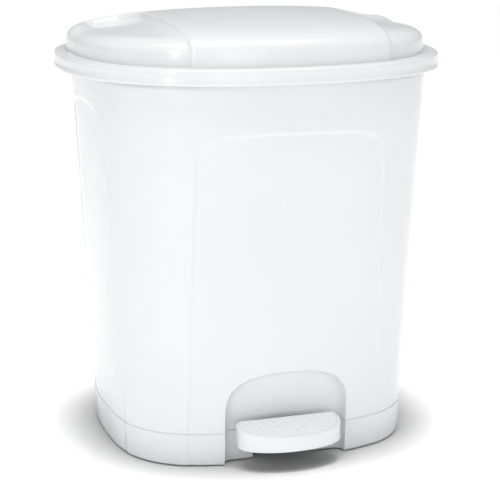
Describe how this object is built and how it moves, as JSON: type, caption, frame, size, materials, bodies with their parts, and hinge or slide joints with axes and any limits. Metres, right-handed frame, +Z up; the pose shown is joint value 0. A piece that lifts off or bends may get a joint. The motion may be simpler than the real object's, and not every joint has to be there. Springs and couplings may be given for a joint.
{
  "type": "pedal trash can",
  "caption": "Rounded white plastic kitchen bin whose domed lid is raised by a foot pedal at the front, with a lift-out inner bucket inside.",
  "frame": {"origin": "on the floor, under the middle of the overall outline", "axes": "+Z up, -Y towards the pedal at the front, +X to the right of someone facing the front"},
  "size_m": [0.3736, 0.34, 0.4265],
  "materials": {
    "shell_white": "glossy moulded white polypropylene",
    "bucket_white": "satin moulded off-white polypropylene",
    "grey_plastic": "satin grey moulded plastic",
    "dark_plastic": "dark grey moulded nylon",
    "zinc_steel": "zinc-plated drawn steel",
    "black_rubber": "matt black rubber"
  },
  "bodies": {
    "body": {"outer_shell": "shell_white", "base_plinth": "shell_white", "lever_pivot_pin": "zinc_steel", "hinge_pin_left": "zinc_steel", "hinge_pin_right": "zinc_steel", "pin_keeper_left": "grey_plastic", "pin_keeper_right": "grey_plastic", "base_screw_1": "zinc_steel", "base_screw_2": "zinc_steel", "base_screw_3": "zinc_steel", "base_screw_4": "zinc_steel", "foot_pad_1": "black_rubber", "foot_pad_2": "black_rubber", "foot_pad_3": "black_rubber", "foot_pad_4": "black_rubber"},
    "lid": {"lid": "shell_white"},
    "pedal": {"pedal_tread": "shell_white", "pedal_lever": "grey_plastic", "pedal_screw_left": "zinc_steel", "pedal_screw_right": "zinc_steel"},
    "rod": {"push_rod": "zinc_steel", "rod_foot": "dark_plastic", "rod_cap": "dark_plastic"},
    "bucket": {"inner_bucket": "bucket_white"},
    "bail": {"bucket_bail": "zinc_steel", "bail_grip": "bucket_white"}
  },
  "joints": [
    {"name": "lid_hinge", "type": "hinge", "parent": "body", "child": "lid", "pos_m": [0, 0.16, 0.366], "axis": [-1, 0, 0], "range_deg": [0, 75]},
    {"name": "pedal_pivot", "type": "hinge", "parent": "body", "child": "pedal", "pos_m": [0, -0.08, 0.027], "axis": [1, 0, 0], "range_deg": [0, 7.78]},
    {"name": "rod_slide", "type": "slide", "parent": "body", "child": "rod", "axis": [0, 0.0725, 0.9974], "range_m": [0, 0.02695]},
    {"name": "bucket_lift", "type": "slide", "parent": "body", "child": "bucket", "axis": [0, 0, 1], "range_m": [0, 0.005]},
    {"name": "bail_swing", "type": "hinge", "parent": "bucket", "child": "bail", "pos_m": [0, -0.002, 0.3726], "axis": [-1, 0, 0], "range_deg": [0, 10]}
  ],
  "couplings": [
    {"joint": "pedal_pivot", "follows": "lid_hinge", "ratio": 0.10346},
    {"joint": "rod_slide", "follows": "lid_hinge", "m_per_rad": 0.020571}
  ]
}
